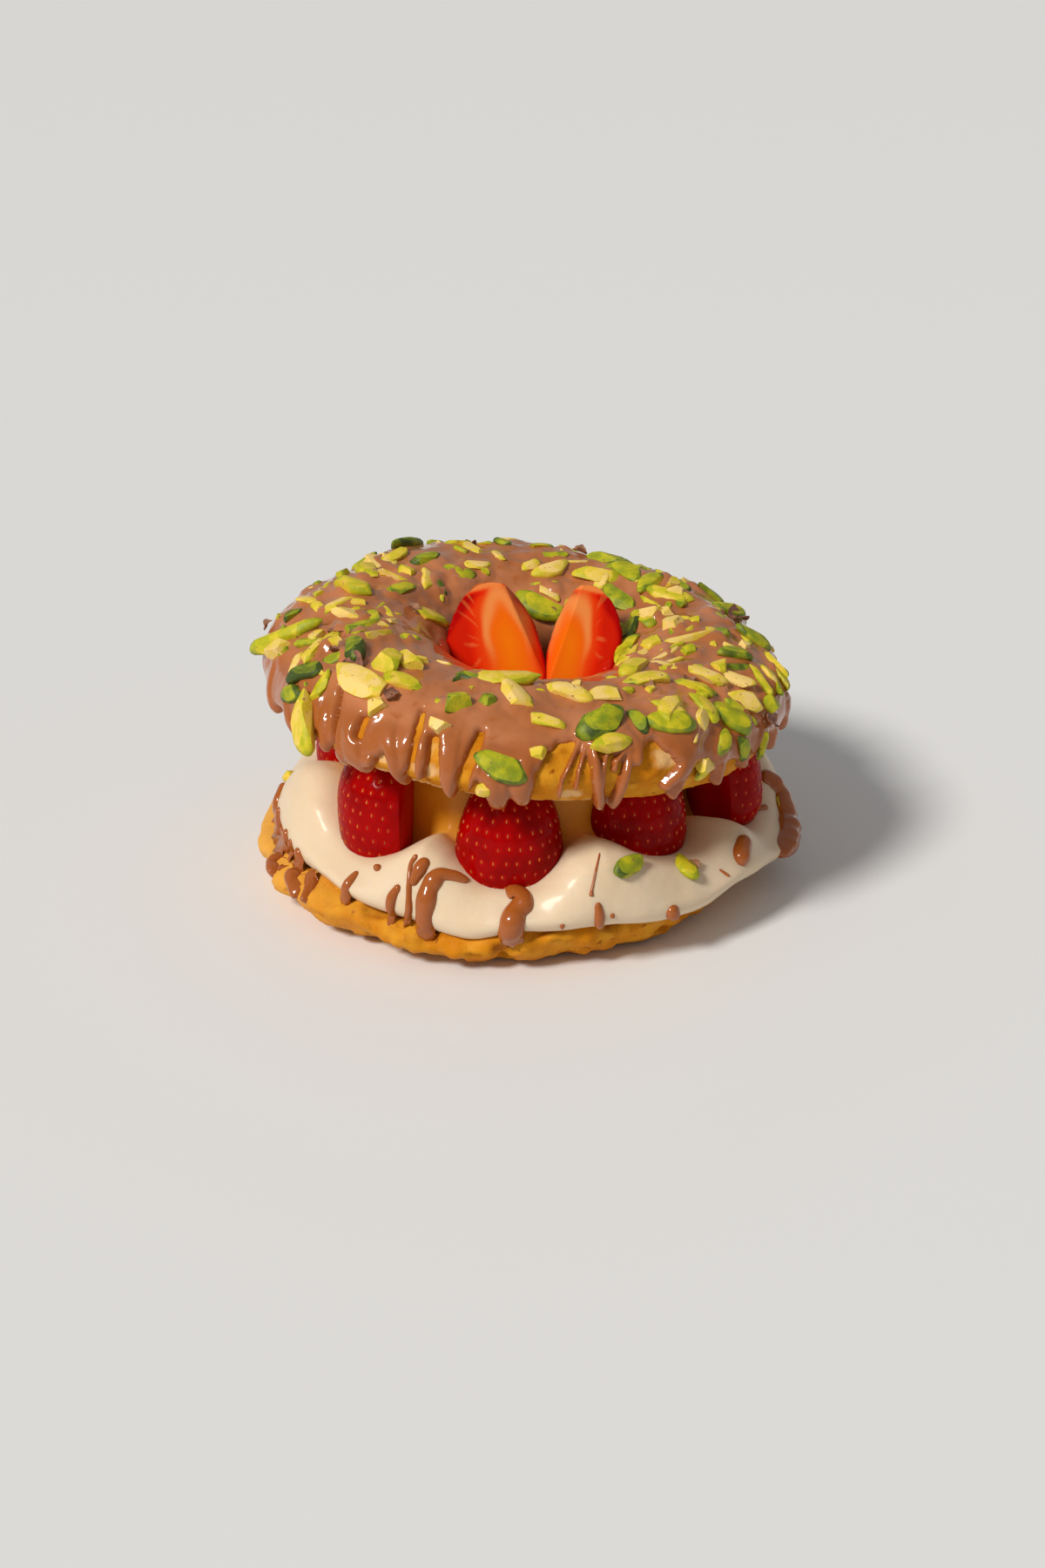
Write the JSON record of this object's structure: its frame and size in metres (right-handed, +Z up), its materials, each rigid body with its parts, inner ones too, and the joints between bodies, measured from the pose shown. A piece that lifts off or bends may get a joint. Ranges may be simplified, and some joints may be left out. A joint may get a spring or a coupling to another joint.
{
  "type": "paris-brest",
  "caption": "Ring of choux pastry cut in two and filled with pastry cream and strawberry halves, its lid coated in milk chocolate with broken pistachios and strawberry wedges in the hole.",
  "frame": {"origin": "middle of the underside, on the surface that the pastry lies on", "axes": "+Z up through the hole, -Y towards the front, which shows three berries and the longest drips, +X to its right"},
  "size_m": [0.1525, 0.1489, 0.0826],
  "materials": {
    "choux": "baked crust, golden brown, matt with a slight sheen",
    "pastry_cream": "smooth ivory cream, moist and softly glossy",
    "milk_chocolate": "set milk chocolate, glossy",
    "strawberry": "moist red skin with seeds",
    "strawberry_flesh": "wet cut flesh, orange red with a pale halo"
  },
  "bodies": {
    "root": {"choux_base": "choux", "cream": "pastry_cream", "berry_1": "strawberry", "berry_2": "strawberry", "berry_3": "strawberry", "berry_4": "strawberry", "berry_5": "strawberry", "berry_6": "strawberry", "berry_7": "strawberry", "berry_8": "strawberry", "choux_lid": "choux", "chocolate_coat": "milk_chocolate", "wedge_left": "strawberry_flesh", "wedge_right": "strawberry_flesh"}
  },
  "joints": []
}
